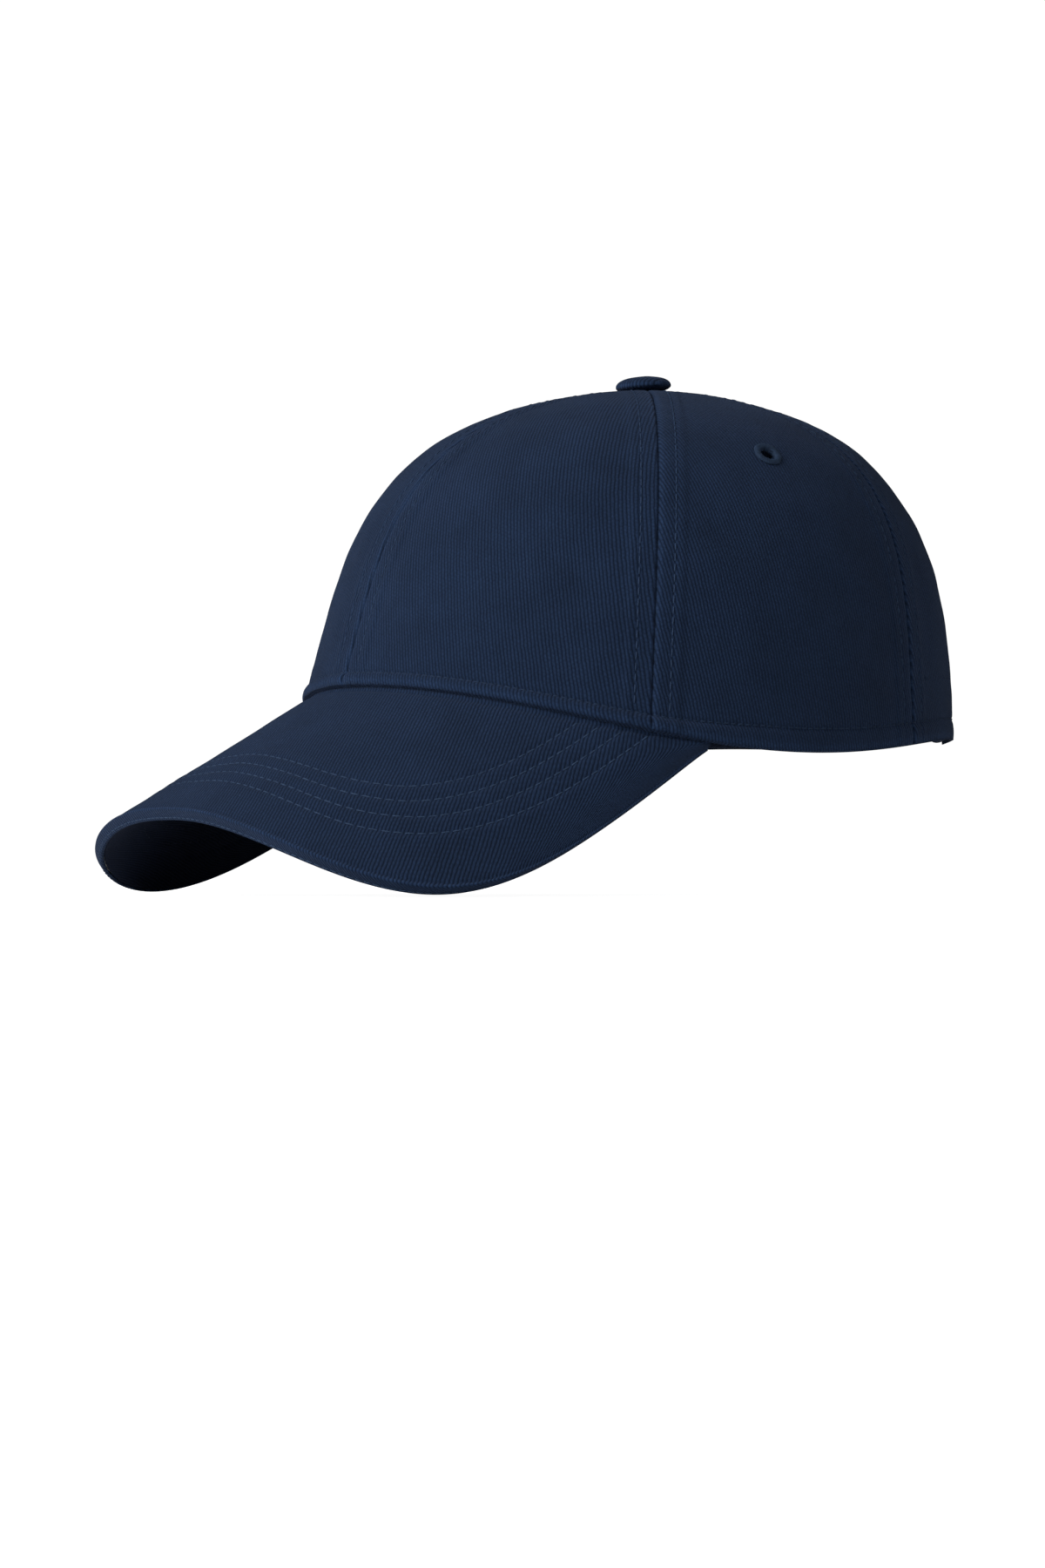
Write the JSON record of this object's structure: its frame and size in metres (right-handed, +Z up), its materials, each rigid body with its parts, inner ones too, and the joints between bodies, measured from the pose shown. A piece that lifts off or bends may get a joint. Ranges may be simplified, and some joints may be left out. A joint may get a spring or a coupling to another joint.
{
  "type": "baseball cap",
  "caption": "Soft-crown baseball cap with curved brim, covered top button, embroidered eyelets, sweatband, and a rear strap held by a metal lever buckle.",
  "frame": {"origin": "centre of the head opening, level with the lower edge of the crown at its mean height", "axes": "+Z up through the crown, -Y towards the brim, +X to the wearer's left"},
  "size_m": [0.1738, 0.2638, 0.1552],
  "materials": {
    "twill": "brushed cotton twill",
    "thread": "spun polyester thread",
    "buckram": "stiff open weave",
    "tape": "plain woven tape",
    "band": "padded cotton twill",
    "label": "satin ribbon",
    "board": "matte",
    "metal": "antique, satin"
  },
  "bodies": {
    "cap": {"front_panel_left": "twill", "front_panel_right": "twill", "side_panel_left": "twill", "side_panel_right": "twill", "back_panel_left": "twill", "back_panel_right": "twill", "buckram_left": "buckram", "buckram_right": "buckram", "seam_tape_front": "tape", "seam_tape_front_left": "tape", "seam_tape_front_right": "tape", "seam_tape_back_left": "tape", "seam_tape_back_right": "tape", "seam_tape_rear": "tape", "rear_facing": "tape", "sweatband": "band", "care_label": "label", "eyelet_side_left": "thread", "eyelet_side_right": "thread", "eyelet_back_left": "thread", "eyelet_back_right": "thread", "button_cover": "twill", "button_shell": "metal", "button_rivet": "metal", "button_washer": "metal", "brim_top_cover": "twill", "brim_board": "board", "brim_under_cover": "twill", "buckle_tab": "twill", "buckle_frame": "metal", "buckle_pin": "metal"},
    "strap": {"strap": "twill"},
    "lever": {"buckle_lever": "metal"}
  },
  "joints": [
    {"name": "strap_adjust", "type": "hinge", "parent": "cap", "child": "strap", "pos_m": [0, 0.0234, 0.01354], "axis": [0, 0.0633, 0.998], "range_deg": [-6, 12]},
    {"name": "buckle_lever_open", "type": "hinge", "parent": "cap", "child": "lever", "pos_m": [-0.01811, 0.0996, 0.00905], "axis": [-0.0336, 0.0468, -0.9983], "range_deg": [0, 110]}
  ]
}
